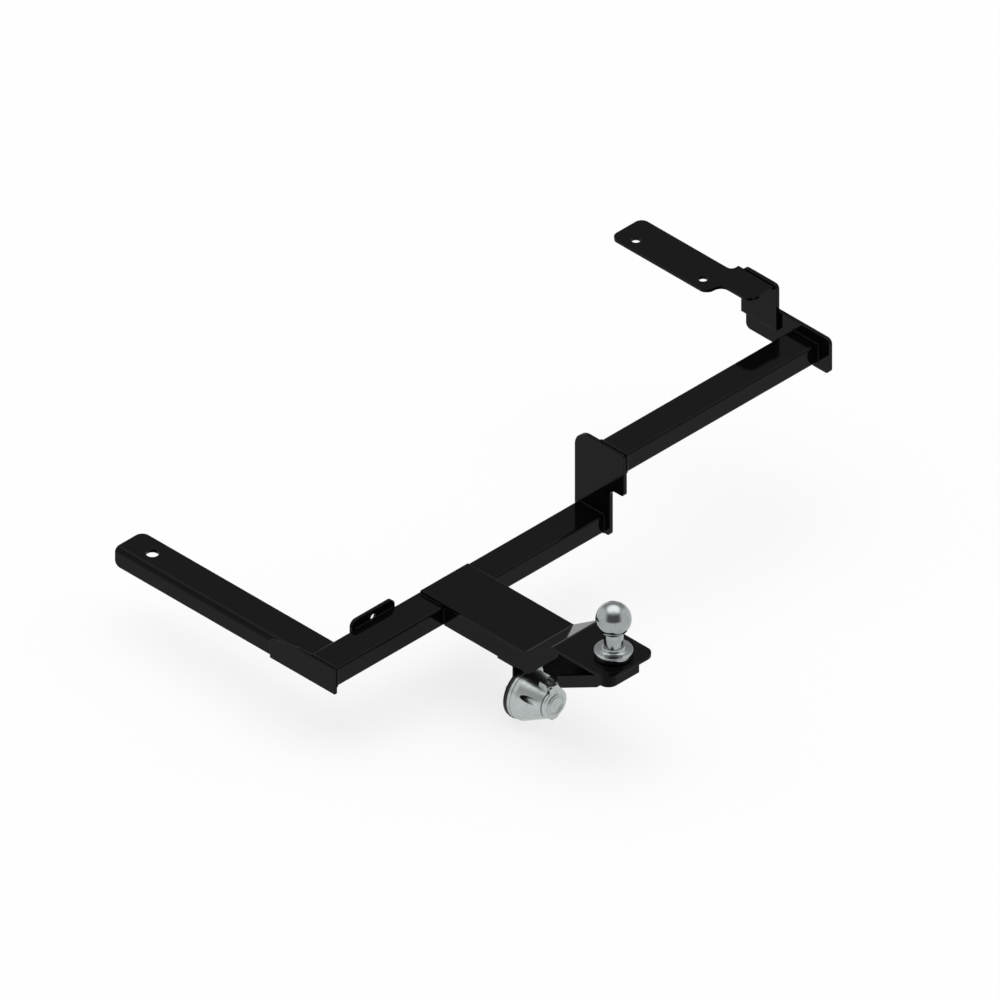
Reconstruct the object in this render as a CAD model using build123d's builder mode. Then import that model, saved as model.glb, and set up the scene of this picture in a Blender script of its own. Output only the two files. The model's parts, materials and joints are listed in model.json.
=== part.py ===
from build123d import *
from math import sqrt
import os

# Tow bar with an offset cross beam, a raised ball platform and a lidded seven-pin socket.
# Millimetres. The origin is the centre of the tow ball, -Y points to the trailer,
# +X runs along the cross beam and +Z is up.

# Cross beam, a rectangular tube in two lengths
tube_width = 50.0
tube_height = 30.0
tube_wall = 3.0
tube_corner = 3.0
left_tube_length = 513.1
right_tube_length = 367.6
right_tube_rise = 115.4
right_tube_forward = 37.5

# Where the ball stands from the axis of the left tube and from its outer end
ball_reach = 305.2
ball_height = 112.7
ball_from_left_end = 250.75

# Plates
thin_plate = 5.0
thick_plate = 6.0
weld_margin = 0.5

# Left arm, a bent angle that runs back to the car, and its end plate
arm_length = 377.0
arm_flange_width = 52.6
arm_side_height = 29.6
arm_bend_radius = 8.0
arm_drop = 11.0
arm_tip_radius = 12.0
arm_toe_radius = 9.0
arm_hole_diameter = 18.0
arm_hole_from_tip = 46.0
arm_hole_from_side = 26.0
end_plate_flat = 46.5
end_plate_back = 99.3

# Rear tab
tab_width = 82.0
tab_from_end = 78.7
tab_rise = 13.0
tab_below = 25.0
tab_corner = 10.0
tab_hole_diameter = 11.0
tab_hole_down = 12.0

# Mid plate between the two tubes
mid_back = 31.6
mid_front_low = 35.6
mid_step_height = 62.5
mid_top_margin = 0.4
mid_top_rear_radius = 25.0
mid_corner_radius = 5.0
mid_inner_radius = 10.0

# Right end plate, upright and arm plate
right_plate_front = 83.5
right_plate_back = 76.3
right_plate_below = 10.3
right_plate_above = 16.3
right_plate_radius = 8.0
upright_front = 12.0
upright_back = 79.7
upright_height = 74.7
upright_overlap = 28.7
upright_front_radius = 7.0
upright_rear_radius = 11.0
right_arm_below_top = 2.0
right_arm_width = 60.4
right_arm_tip = 257.0
right_arm_front = 16.0
right_arm_side_gap = 13.6
right_arm_near_step = 27.4
right_arm_near_step_y = 71.5
right_arm_far_step_y = 84.7
right_arm_tip_radius = 12.0
right_arm_front_radius = 13.0
right_arm_step_radius = 13.5
right_arm_far_radius = 8.0
right_arm_hole_diameter = 13.0
right_arm_hole_from_edge = 18.3
right_arm_hole_from_tip = 31.0
right_arm_hole_spacing = 129.0

# Tongue, a channel under a bent top plate that rises to the ball platform
tongue_width = 91.1
tongue_wall = 4.0
top_plate_rear = 20.5
bend_start = 183.0
riser_run = 49.6
riser_rise = 32.6
platform_past_ball = 35.9
platform_corner = 15.0
bend_radius = 6.0
channel_toe = 188.0
channel_nose = 245.0
nose_height = 5.0

# Skirt below the platform's front edge
skirt_depth = 12.4
skirt_return = 7.0
skirt_front_end = 12.5

# Angle rails below the platform's sides, and the webs that they carry
rail_height = 20.0
rail_width = 20.0
rail_front_gap = 22.1
rail_rear = 243.0
rail_front_low = 28.7
rail_rear_low = -10.4
rail_corner = 6.0
gusset_rear = 190.0
gusset_rear_depth = 7.0
gusset_toe = 196.0
gusset_toe_low = 17.0
fit_gap = 0.3

# Tow ball and its nut
ball_diameter = 50.0
neck_diameter = 27.0
collar_diameter = 54.0
collar_thickness = 11.0
collar_edge = 2.0
neck_fillet = 6.0
shank_diameter = 22.0
shank_clearance = 0.5
shank_chamfer = 2.0
nut_flats = 34.0
nut_height = 18.0
washer_diameter = 39.0
washer_thickness = 3.0
lock_washer_diameter = 35.0
lock_washer_thickness = 5.0
lock_washer_gap = 3.0
shank_past_nut = 4.0

# Socket: where its axis lies, then its pieces from the bracket outwards
socket_x = -24.0
socket_below = 68.0
bracket_face = 159.5
bracket_thickness = 3.0
bracket_foot = 32.0
bracket_foot_width = 36.0
bracket_radius = 39.5
bracket_bend = 4.0
gasket_thickness = 2.5
gasket_diameter = 80.0
flange_diameter = 78.0
flange_thickness = 5.0
drum_diameter = 76.0
drum_length = 7.0
mouth_diameter = 47.0
mouth_rise = 6.7
housing_length = 45.0
housing_bore = 41.0
inlet_bore = 30.0
screw_circle = 62.0
screw_diameter = 5.0
screw_clearance = 0.25
screw_head_diameter = 9.5
screw_head_height = 4.0
screw_count = 3
screw_start_angle = 30.0
socket_nut_flats = 8.0
socket_nut_height = 4.0
screw_past_nut = 2.0

# Insert, contacts and the grommet at the back of the socket
insert_length = 22.0
insert_recess = 20.0
insert_clearance = 0.2
contact_circle = 26.0
contact_diameter = 5.0
contact_clearance = 0.05
contact_reach = 6.0
contact_depth = 10.0
contact_ring_count = 6
contact_start_angle = 90.0
grommet_lip_diameter = 38.0
grommet_lip = 3.0
grommet_plug = 8.0
grommet_bore = 9.0
grommet_clearance = 0.2

# Lid, seal, hinge pin and spring
lid_diameter = 45.0
lid_thickness = 5.0
lid_boss_diameter = 32.0
lid_boss_height = 2.0
lid_edge = 1.5
lid_gap = 0.4
lid_tab_width = 12.0
lid_tab_root = 18.0
lid_grip_width = 14.0
lid_grip_length = 2.5
seal_diameter = 41.0
seal_thickness = 1.3
seal_recess = 1.2
seal_clearance = 0.1
hinge_height = 35.0
hinge_back = 1.5
hinge_knuckle = 9.0
ear_thickness = 4.0
ear_top_length = 13.0
ear_root_height = 19.5
ear_slope_length = 18.0
knuckle_gap = 0.3
pin_diameter = 4.0
pin_clearance = 0.05
pin_head = 1.5
pin_head_diameter = 7.0
spring_wire = 1.2
spring_clearance = 0.5
spring_length = 5.0
spring_room = 0.5

# Heights above the axis of the left tube, and distances ahead of it
tube_top = tube_height / 2
tube_side = tube_width / 2
plate_top = tube_top + thin_plate
platform_top = plate_top + riser_rise
platform_under = platform_top - thin_plate
platform_rear = bend_start + riser_run
platform_front = ball_reach + platform_past_ball
left_end = -ball_from_left_end
mid_face = left_end + left_tube_length
right_start = mid_face + thick_plate
right_end = right_start + right_tube_length
right_tube_low = right_tube_rise - tube_top
right_tube_top = right_tube_rise + tube_top
rail_front = platform_front - rail_front_gap
rail_slope = (rail_front_low - rail_rear_low) / (rail_front - rail_rear)
arm_top = tube_top - arm_drop
arm_low = arm_top - arm_side_height


def side_plane(x):
    """Upright plane across the beam, with Y and Z from the left tube's axis."""
    return Plane(origin=(x, ball_reach, -ball_height), x_dir=(0, 1, 0), z_dir=(1, 0, 0))


def level_plane(z):
    """Level plane at a height above the left tube's axis."""
    return Plane(origin=(0, ball_reach, z - ball_height), x_dir=(1, 0, 0), z_dir=(0, 0, 1))


def front_plane(y):
    """Upright plane along the beam at y from its axis, facing the trailer."""
    return Plane(origin=(0, ball_reach + y, -ball_height), x_dir=(1, 0, 0), z_dir=(0, -1, 0))


def socket_plane(ahead, rise=0):
    """Plane square to the socket's axis, ahead of the bracket's face, or raised above it."""
    place = (socket_x, ball_reach - bracket_face - ahead, rise - ball_height - socket_below)
    return Plane(origin=place, x_dir=(1, 0, 0), z_dir=(0, -1, 0))


os.makedirs("parts", exist_ok=True)


def keep(part, label):
    """Label a finished piece and write it."""
    part.label = label
    export_step(part, f"parts/{label}.step")


def round_points(radius, *points):
    """Round the corners of the current sketch that lie nearest to the points."""
    fillet([vertices().sort_by_distance(point)[0] for point in points], radius)


# The two tubes of the cross beam
with BuildPart() as left_cross_tube:
    with BuildSketch(side_plane(left_end)):
        RectangleRounded(tube_width, tube_height, tube_corner)
        inner_width = tube_width - 2 * tube_wall
        Rectangle(inner_width, tube_height - 2 * tube_wall, mode=Mode.SUBTRACT)
    extrude(amount=left_tube_length)
keep(left_cross_tube.part, "left_cross_tube")

with BuildPart() as right_cross_tube:
    with BuildSketch(side_plane(right_start)):
        with Locations((-right_tube_forward, right_tube_rise)):
            RectangleRounded(tube_width, tube_height, tube_corner)
            Rectangle(inner_width, tube_height - 2 * tube_wall, mode=Mode.SUBTRACT)
    extrude(amount=right_tube_length)
keep(right_cross_tube.part, "right_cross_tube")

# Left arm: an angle with its bend at the upper outer edge
with BuildPart() as left_arm:
    with BuildSketch(front_plane(tube_side)):
        with BuildLine():
            flange_end = left_end + arm_flange_width
            Polyline(
                (left_end, arm_low),
                (left_end, arm_top),
                (flange_end, arm_top),
                (flange_end, arm_top - thin_plate),
                (left_end + thin_plate, arm_top - thin_plate),
                (left_end + thin_plate, arm_low),
                close=True,
            )
        make_face()
        round_points(arm_bend_radius, (left_end, arm_top))
    extrude(amount=-arm_length)
    tip_y = tube_side + arm_length
    with BuildSketch(level_plane(arm_top)):
        with Locations((left_end + arm_hole_from_side, tip_y - arm_hole_from_tip)):
            Circle(arm_hole_diameter / 2)
    extrude(amount=-arm_side_height, mode=Mode.SUBTRACT)
    tip_edges = left_arm.edges().filter_by(Axis.Z).group_by(Axis.Y)[-1]
    fillet(tip_edges.sort_by(Axis.X)[-1], arm_tip_radius)
    toe_edges = left_arm.edges().filter_by(Axis.X).group_by(Axis.Y)[-1]
    fillet(toe_edges.sort_by(Axis.Z)[0], arm_toe_radius)
keep(left_arm.part, "left_arm")

# End plate on the outside of the left tube and the arm
with BuildPart() as left_end_plate:
    with BuildSketch(side_plane(left_end)):
        with BuildLine():
            Polyline(
                (-tube_side, arm_low),
                (-tube_side, tube_top),
                (end_plate_flat, tube_top),
                (end_plate_back, arm_top),
                (end_plate_back, arm_low),
                close=True,
            )
        make_face()
    extrude(amount=-thin_plate)
keep(left_end_plate.part, "left_end_plate")

# Rear tab, a drilled plate on the back of the left tube
with BuildPart() as rear_tab:
    tab_centre = left_end + tab_from_end + tab_width / 2
    tab_top = tube_top + tab_rise
    with BuildSketch(front_plane(tube_side)):
        with Locations((tab_centre, (tab_top + tube_top - tab_below) / 2)):
            Rectangle(tab_width, tab_rise + tab_below)
        fillet(vertices().group_by(Axis.Y)[-1], tab_corner)
        with Locations((tab_centre, tab_top - tab_hole_down)):
            Circle(tab_hole_diameter / 2, mode=Mode.SUBTRACT)
    extrude(amount=-thin_plate)
keep(rear_tab.part, "rear_tab")

# Mid plate, which steps the beam up and forward
with BuildPart() as mid_plate:
    mid_top = right_tube_top - mid_top_margin
    mid_front_high = right_tube_forward + tube_side
    with BuildSketch(side_plane(mid_face)):
        with BuildLine():
            Polyline(
                (mid_back, -tube_top - weld_margin),
                (mid_back, mid_top),
                (-mid_front_high, mid_top),
                (-mid_front_high, mid_step_height),
                (-mid_front_low, mid_step_height),
                (-mid_front_low, -tube_top - weld_margin),
                close=True,
            )
        make_face()
        round_points(mid_top_rear_radius, (mid_back, mid_top))
        round_points(mid_inner_radius, (-mid_front_low, mid_step_height))
        round_points(
            mid_corner_radius,
            (-mid_front_high, mid_top),
            (-mid_front_high, mid_step_height),
            (-mid_front_low, -tube_top - weld_margin),
            (mid_back, -tube_top - weld_margin),
        )
    extrude(amount=thick_plate)
keep(mid_plate.part, "mid_plate")

# Right end plate
with BuildPart() as right_end_plate:
    plate_low = right_tube_low - right_plate_below
    plate_high = right_tube_top + right_plate_above
    with BuildSketch(side_plane(right_end)):
        middle = ((right_plate_back - right_plate_front) / 2, (plate_low + plate_high) / 2)
        with Locations(middle):
            Rectangle(right_plate_back + right_plate_front, plate_high - plate_low)
        round_points(
            right_plate_radius,
            (-right_plate_front, plate_low),
            (-right_plate_front, plate_high),
            (right_plate_back, plate_low),
        )
    extrude(amount=thick_plate)
keep(right_end_plate.part, "right_end_plate")

# Right upright, flat against the inner side of the right end plate
with BuildPart() as right_upright:
    upright_low = plate_high - upright_overlap
    upright_top = upright_low + upright_height
    with BuildSketch(side_plane(right_end)):
        with Locations(((upright_front + upright_back) / 2, (upright_low + upright_top) / 2)):
            Rectangle(upright_back - upright_front, upright_height)
        round_points(upright_front_radius, (upright_front, upright_top))
        round_points(upright_rear_radius, (upright_back, upright_top))
    extrude(amount=-thick_plate)
keep(right_upright.part, "right_upright")

# Right arm plate, level, butted against the upright
with BuildPart() as right_arm_plate:
    inner_x = right_end - thick_plate
    far_x = inner_x - right_arm_side_gap
    near_x = far_x - right_arm_width
    neck_x = near_x + right_arm_near_step
    with BuildSketch(level_plane(upright_top - right_arm_below_top)):
        with BuildLine():
            Polyline(
                (inner_x, right_arm_front),
                (inner_x, right_arm_far_step_y),
                (far_x, right_arm_far_step_y),
                (far_x, right_arm_tip),
                (near_x, right_arm_tip),
                (near_x, right_arm_near_step_y),
                (neck_x, right_arm_near_step_y),
                (neck_x, right_arm_front),
                close=True,
            )
        make_face()
        round_points(right_arm_tip_radius, (far_x, right_arm_tip), (near_x, right_arm_tip))
        round_points(right_arm_front_radius, (neck_x, right_arm_front))
        step_corners = (near_x, right_arm_near_step_y), (neck_x, right_arm_near_step_y)
        round_points(right_arm_step_radius, *step_corners)
        round_points(right_arm_far_radius, (far_x, right_arm_far_step_y))
        hole_y = right_arm_tip - right_arm_hole_from_tip
        hole_x = near_x + right_arm_hole_from_edge
        with Locations((hole_x, hole_y), (hole_x, hole_y - right_arm_hole_spacing)):
            Circle(right_arm_hole_diameter / 2, mode=Mode.SUBTRACT)
    extrude(amount=-thin_plate)
keep(right_arm_plate.part, "right_arm_plate")

# Where the underside of the bent plate has its corners, ahead of the upper ones
riser_slope = riser_rise / riser_run
half_slope = riser_slope / (1 + sqrt(1 + riser_slope**2))
under_shift = thin_plate * half_slope
under_start = bend_start + under_shift
under_end = platform_rear + under_shift

# Bent top plate: flat over the tongue, rising, then flat as the ball platform
with BuildPart() as top_plate:
    with BuildSketch(side_plane(-tongue_width / 2)):
        with BuildLine():
            Polyline(
                (top_plate_rear, plate_top),
                (-bend_start, plate_top),
                (-platform_rear, platform_top),
                (-platform_front, platform_top),
                (-platform_front, platform_under),
                (-under_end, platform_under),
                (-under_start, tube_top),
                (top_plate_rear, tube_top),
                close=True,
            )
        make_face()
        round_points(bend_radius, (-bend_start, plate_top), (-under_end, platform_under))
        outer_bend = bend_radius + thin_plate
        round_points(outer_bend, (-under_start, tube_top), (-platform_rear, platform_top))
    extrude(amount=tongue_width)
    front_edges = top_plate.edges().filter_by(Axis.Z).group_by(Axis.Y)[0]
    fillet(front_edges, platform_corner)
    with BuildSketch(Plane.XY.offset(platform_top - ball_height)):
        Circle(shank_diameter / 2 + shank_clearance)
    extrude(amount=-thin_plate, mode=Mode.SUBTRACT)
keep(top_plate.part, "top_plate")

# Tongue channel: a floor and two cheeks, whose noses sweep up under the platform
with BuildPart() as tongue_channel:
    nose_low = platform_under - nose_height
    with BuildSketch(side_plane(-tongue_width / 2)):
        with BuildLine():
            Polyline(
                (-tube_side, -tube_top),
                (-tube_side, tube_top),
                (-under_start, tube_top),
                (-under_end, platform_under),
                (-channel_nose, platform_under),
                (-channel_nose, nose_low),
                (-channel_toe, -tube_top),
                close=True,
            )
        make_face()
        round_points(outer_bend, (-under_start, tube_top))
        round_points(bend_radius, (-under_end, platform_under))
    extrude(amount=tongue_width)
    inside_width = tongue_width - 2 * tongue_wall
    with BuildSketch(level_plane(tongue_wall - tube_top)):
        with Locations((0, -(tube_side + channel_nose) / 2)):
            Rectangle(inside_width, channel_nose - tube_side)
    extrude(amount=platform_top + tube_top, mode=Mode.SUBTRACT)
keep(tongue_channel.part, "tongue_channel")

# Skirt below the platform's front edge, which turns the left corner
with BuildPart() as platform_skirt:
    skirt_radius = platform_corner - thin_plate / 2
    skirt_left = -tongue_width / 2 + thin_plate / 2
    skirt_y = -platform_front + thin_plate / 2
    corner_x = skirt_left + skirt_radius
    corner_y = skirt_y + skirt_radius
    with BuildSketch(level_plane(platform_under)):
        with BuildLine():
            Line((skirt_left, corner_y + skirt_return), (skirt_left, corner_y))
            RadiusArc((skirt_left, corner_y), (corner_x, skirt_y), -skirt_radius)
            right_x = -skirt_left
            right_y = skirt_y + right_x - skirt_front_end
            Polyline((corner_x, skirt_y), (skirt_front_end, skirt_y), (right_x, right_y))
        trace(line_width=thin_plate)
    extrude(amount=-skirt_depth)
keep(platform_skirt.part, "platform_skirt")


def rail(x, leg_x, front):
    """Angle below one side of the platform, which slopes down towards the beam."""
    front_low = rail_rear_low + rail_slope * (front - rail_rear)
    front_high = front_low + rail_height
    with BuildPart() as bar:
        with BuildSketch(side_plane(x)):
            with BuildLine():
                Polyline(
                    (-front, front_low),
                    (-front, front_high),
                    (-rail_rear, rail_rear_low + rail_height),
                    (-rail_rear, rail_rear_low),
                    close=True,
                )
            make_face()
            round_points(rail_corner, (-rail_rear, rail_rear_low))
        extrude(amount=thin_plate)
        split(bisect_by=level_plane(platform_under), keep=Keep.BOTTOM)
        leg_start = rail_rear + rail_corner
        leg_low = rail_rear_low + rail_slope * rail_corner
        with BuildSketch(side_plane(leg_x)):
            with BuildLine():
                Polyline(
                    (-front, front_low),
                    (-front, front_low + thin_plate),
                    (-leg_start, leg_low + thin_plate),
                    (-leg_start, leg_low),
                    close=True,
                )
            make_face()
        extrude(amount=rail_width)
    return bar.part


def gusset(x, front):
    """Web from inside the tongue to the platform, which stands on its rail's leg."""
    front_low = rail_rear_low + rail_slope * (front - rail_rear)
    web_top = tube_top - fit_gap
    with BuildPart() as web:
        with BuildSketch(side_plane(x)):
            with BuildLine():
                Polyline(
                    (-gusset_rear, web_top - gusset_rear_depth),
                    (-gusset_rear, web_top),
                    (-under_start, web_top),
                    (-under_end, platform_under),
                    (-front, platform_under),
                    (-front, front_low),
                    (-rail_rear, rail_rear_low),
                    (-rail_rear + rail_corner, -gusset_toe_low),
                    (-gusset_toe, -gusset_toe_low),
                    close=True,
                )
            make_face()
            round_points(bend_radius, (-under_end, platform_under))
        extrude(amount=thin_plate)
    return web.part


rail_x = tongue_width / 2 - thin_plate
web_x = tongue_width / 2 - rail_width
right_front = -right_y - thin_plate / 2
keep(rail(-rail_x - thin_plate, -tongue_width / 2, rail_front), "left_rail")
keep(rail(rail_x, web_x, right_front), "right_rail")
keep(gusset(-web_x, platform_front - platform_corner), "left_gusset")
keep(gusset(web_x - thin_plate, right_front), "right_gusset")

# Tow ball with its collar and shank, turned in one piece
with BuildPart() as tow_ball:
    collar_low = platform_top - ball_height
    collar_high = collar_low + collar_thickness
    ball_radius = ball_diameter / 2
    neck_radius = neck_diameter / 2
    neck_high = -sqrt(ball_radius**2 - neck_radius**2)
    nut_stack = washer_thickness + lock_washer_thickness + nut_height
    shank_low = collar_low - thin_plate - nut_stack - shank_past_nut
    with BuildSketch(Plane.XZ):
        with BuildLine():
            Polyline(
                (0, shank_low),
                (shank_diameter / 2, shank_low),
                (shank_diameter / 2, collar_low),
                (collar_diameter / 2, collar_low),
                (collar_diameter / 2, collar_high),
                (neck_radius, collar_high),
                (neck_radius, neck_high),
            )
            RadiusArc((neck_radius, neck_high), (ball_radius, 0), -ball_radius)
            RadiusArc((ball_radius, 0), (0, ball_radius), -ball_radius)
            Line((0, ball_radius), (0, shank_low))
        make_face()
        round_points(neck_fillet, (neck_radius, collar_high))
        shank_foot = vertices().sort_by_distance((shank_diameter / 2, shank_low))[0]
        chamfer(shank_foot, shank_chamfer)
        collar_rims = [(collar_diameter / 2, collar_low), (collar_diameter / 2, collar_high)]
        rim_points = [vertices().sort_by_distance(point)[0] for point in collar_rims]
        chamfer(rim_points, collar_edge)
    revolve(axis=Axis.Z)
keep(tow_ball.part, "tow_ball")

# What holds the ball from below, from the platform down
shank_hole = shank_diameter / 2 + shank_clearance
under_z = collar_low - thin_plate
with BuildPart() as ball_washer:
    with BuildSketch(Plane.XY.offset(under_z)):
        Circle(washer_diameter / 2)
        Circle(shank_hole, mode=Mode.SUBTRACT)
    extrude(amount=-washer_thickness)
keep(ball_washer.part, "ball_washer")

with BuildPart() as ball_lock_washer:
    with BuildSketch(Plane.XY.offset(under_z - washer_thickness)):
        Circle(lock_washer_diameter / 2)
        Circle(shank_hole, mode=Mode.SUBTRACT)
        with Locations((0, -lock_washer_diameter / 2)):
            Rectangle(lock_washer_gap, lock_washer_diameter, mode=Mode.SUBTRACT)
    extrude(amount=-lock_washer_thickness)
keep(ball_lock_washer.part, "ball_lock_washer")

with BuildPart() as ball_nut:
    nut_z = under_z - washer_thickness - lock_washer_thickness
    with BuildSketch(Plane.XY.offset(nut_z)):
        RegularPolygon(nut_flats / 2, 6, major_radius=False)
        Circle(shank_diameter / 2, mode=Mode.SUBTRACT)
    extrude(amount=-nut_height)
keep(ball_nut.part, "ball_nut")

# Distances ahead of the bracket's face along the socket's axis
flange_start = gasket_thickness
housing_start = flange_start + flange_thickness
mouth = housing_start + housing_length
insert_face = mouth - insert_recess
insert_back = insert_face - insert_length
lid_back = mouth + lid_gap
hinge_ahead = mouth - hinge_back
screw_hole = screw_diameter / 2 + screw_clearance
foot_height = socket_below - tube_top


def screw_places(radius):
    """Add a circle at each of the socket's screws to the current sketch."""
    with PolarLocations(screw_circle / 2, screw_count, screw_start_angle):
        Circle(radius)


# Socket bracket: a rounded plate behind the socket and a foot under the tongue
with BuildPart() as socket_bracket:
    foot_left = -tongue_width / 2
    neck_shift = foot_left + bracket_foot_width / 2 - socket_x
    with BuildSketch(socket_plane(-bracket_thickness)):
        Circle(bracket_radius)
        with Locations((neck_shift, foot_height / 2)):
            Rectangle(bracket_foot_width, foot_height)
    extrude(amount=bracket_thickness)
    with BuildSketch(level_plane(-tube_top)):
        with Locations((socket_x + neck_shift, -bracket_face + bracket_foot / 2)):
            Rectangle(bracket_foot_width, bracket_foot)
    extrude(amount=-bracket_thickness)
    bend_edges = socket_bracket.edges().filter_by(Axis.X).group_by(Axis.Z)[-1]
    fillet(bend_edges.sort_by(Axis.Y)[0], bracket_bend)
    with BuildSketch(socket_plane(-bracket_thickness)):
        Circle(inlet_bore / 2)
        screw_places(screw_hole)
    extrude(amount=bracket_thickness, mode=Mode.SUBTRACT)
keep(socket_bracket.part, "socket_bracket")

with BuildPart() as socket_gasket:
    with BuildSketch(socket_plane(0)):
        Circle(gasket_diameter / 2)
    extrude(amount=gasket_thickness)
    with BuildSketch(socket_plane(0)):
        Circle(inlet_bore / 2)
        screw_places(screw_hole)
    extrude(amount=gasket_thickness, mode=Mode.SUBTRACT)
keep(socket_gasket.part, "socket_gasket")

# Housing: flange, body, mouth and two ears that carry the hinge pin
hinge_y = -bracket_face - hinge_ahead
hinge_z = hinge_height - socket_below
ear_start = lid_tab_width / 2 + knuckle_gap
pin_hole = pin_diameter / 2 + pin_clearance
with BuildPart() as socket_housing:
    with BuildSketch(socket_plane(flange_start)):
        Circle(flange_diameter / 2)
    extrude(amount=flange_thickness)
    with BuildSketch(socket_plane(housing_start)):
        Circle(drum_diameter / 2)
    extrude(amount=drum_length)
    with BuildSketch(socket_plane(housing_start + drum_length)):
        Circle(drum_diameter / 2)
    with BuildSketch(socket_plane(mouth, mouth_rise)):
        Circle(mouth_diameter / 2)
    loft()
    for ear_x in (socket_x + ear_start, socket_x - ear_start - ear_thickness):
        with BuildSketch(side_plane(ear_x)):
            ear_root = ear_root_height - socket_below
            mouth_y = -bracket_face - mouth
            with Locations((hinge_y, hinge_z)):
                Circle(hinge_knuckle / 2)
            with BuildLine():
                Polyline(
                    (mouth_y, hinge_z),
                    (hinge_y, hinge_z + hinge_knuckle / 2),
                    (hinge_y + ear_top_length, hinge_z + hinge_knuckle / 2),
                    (hinge_y + ear_slope_length, ear_root),
                    (mouth_y, ear_root),
                    close=True,
                )
            make_face()
        extrude(amount=ear_thickness)
    with BuildSketch(socket_plane(insert_back, mouth_rise)):
        Circle(housing_bore / 2)
    extrude(amount=mouth - insert_back, mode=Mode.SUBTRACT)
    with BuildSketch(socket_plane(flange_start)):
        Circle(inlet_bore / 2)
        screw_places(screw_hole)
    extrude(amount=insert_back - flange_start, mode=Mode.SUBTRACT)
    with BuildSketch(socket_plane(housing_start)):
        screw_places(screw_head_diameter / 2 + screw_clearance)
    extrude(amount=housing_length, mode=Mode.SUBTRACT)
    with BuildSketch(side_plane(socket_x)):
        with Locations((hinge_y, hinge_z)):
            Circle(pin_hole)
    extrude(amount=ear_start + ear_thickness, both=True, mode=Mode.SUBTRACT)
keep(socket_housing.part, "socket_housing")

# Insert with its contacts: one in the middle and a ring round it
with BuildPart() as socket_insert:
    with BuildSketch(socket_plane(insert_back, mouth_rise)):
        Circle(housing_bore / 2 - insert_clearance)
    extrude(amount=insert_length)
    with BuildSketch(socket_plane(insert_face, mouth_rise)):
        with PolarLocations(contact_circle / 2, contact_ring_count, contact_start_angle):
            Circle(contact_diameter / 2 + contact_clearance)
        Circle(contact_diameter / 2 + contact_clearance)
    extrude(amount=-contact_depth, mode=Mode.SUBTRACT)
keep(socket_insert.part, "socket_insert")

with BuildPart() as socket_contacts:
    with BuildSketch(socket_plane(insert_face - contact_depth, mouth_rise)):
        with PolarLocations(contact_circle / 2, contact_ring_count, contact_start_angle):
            Circle(contact_diameter / 2)
        Circle(contact_diameter / 2)
    extrude(amount=contact_depth + contact_reach)
    contact_tips = socket_contacts.faces().group_by(Axis.Y)[0].edges()
    chamfer(contact_tips, contact_diameter / 8)
keep(socket_contacts.part, "socket_contacts")

# Grommet that closes the cable inlet from behind the bracket
with BuildPart() as cable_grommet:
    with BuildSketch(socket_plane(-bracket_thickness)):
        Circle(grommet_lip_diameter / 2)
    extrude(amount=-grommet_lip)
    with BuildSketch(socket_plane(-bracket_thickness)):
        Circle(inlet_bore / 2 - grommet_clearance)
    extrude(amount=grommet_plug)
    with BuildSketch(socket_plane(-bracket_thickness - grommet_lip)):
        Circle(grommet_bore / 2)
    extrude(amount=grommet_lip + grommet_plug, mode=Mode.SUBTRACT)
keep(cable_grommet.part, "cable_grommet")

# Screws through the flange, and their nuts behind the bracket
with BuildPart() as socket_screws:
    screw_back = -bracket_thickness - socket_nut_height - screw_past_nut
    with BuildSketch(socket_plane(screw_back)):
        screw_places(screw_diameter / 2)
    extrude(amount=housing_start - screw_back)
    with BuildSketch(socket_plane(housing_start)):
        screw_places(screw_head_diameter / 2)
    extrude(amount=screw_head_height)
    head_rims = socket_screws.faces().group_by(Axis.Y)[0].edges()
    fillet(head_rims, screw_head_height / 4)
keep(socket_screws.part, "socket_screws")

with BuildPart() as socket_nuts:
    with BuildSketch(socket_plane(-bracket_thickness)):
        with PolarLocations(screw_circle / 2, screw_count, screw_start_angle):
            RegularPolygon(socket_nut_flats / 2, 6, major_radius=False)
            Circle(screw_diameter / 2, mode=Mode.SUBTRACT)
    extrude(amount=-socket_nut_height)
keep(socket_nuts.part, "socket_nuts")

# Lid: a disc with a boss, a grip at the bottom and a knuckle on the hinge pin
lid_front = lid_back + lid_thickness
with BuildPart() as socket_lid:
    with BuildSketch(socket_plane(lid_back, mouth_rise)):
        Circle(lid_diameter / 2)
        with Locations((0, -lid_diameter / 2)):
            Rectangle(lid_grip_width, 2 * lid_grip_length)
    extrude(amount=lid_thickness)
    chamfer(socket_lid.faces().group_by(Axis.Y)[0].edges(), lid_edge)
    with BuildSketch(socket_plane(lid_front, mouth_rise)):
        Circle(lid_boss_diameter / 2)
    extrude(amount=lid_boss_height)
    with BuildSketch(side_plane(socket_x - lid_tab_width / 2)):
        with Locations((hinge_y, hinge_z)):
            Circle(hinge_knuckle / 2)
        tab_root_z = lid_tab_root - socket_below
        tab_middle = (-bracket_face - lid_back - lid_thickness / 2, (hinge_z + tab_root_z) / 2)
        with Locations(tab_middle):
            Rectangle(lid_thickness, hinge_z - tab_root_z)
    extrude(amount=lid_tab_width)
    with BuildSketch(side_plane(socket_x)):
        with Locations((hinge_y, hinge_z)):
            Circle(pin_hole)
    extrude(amount=lid_tab_width, both=True, mode=Mode.SUBTRACT)
    with BuildSketch(side_plane(socket_x)):
        with Locations((hinge_y, hinge_z)):
            Circle(hinge_knuckle / 2 + spring_room)
    extrude(amount=spring_length / 2 + spring_room, both=True, mode=Mode.SUBTRACT)
    with BuildSketch(socket_plane(lid_back, mouth_rise)):
        Circle(seal_diameter / 2)
    extrude(amount=seal_recess, mode=Mode.SUBTRACT)
keep(socket_lid.part, "socket_lid")

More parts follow.
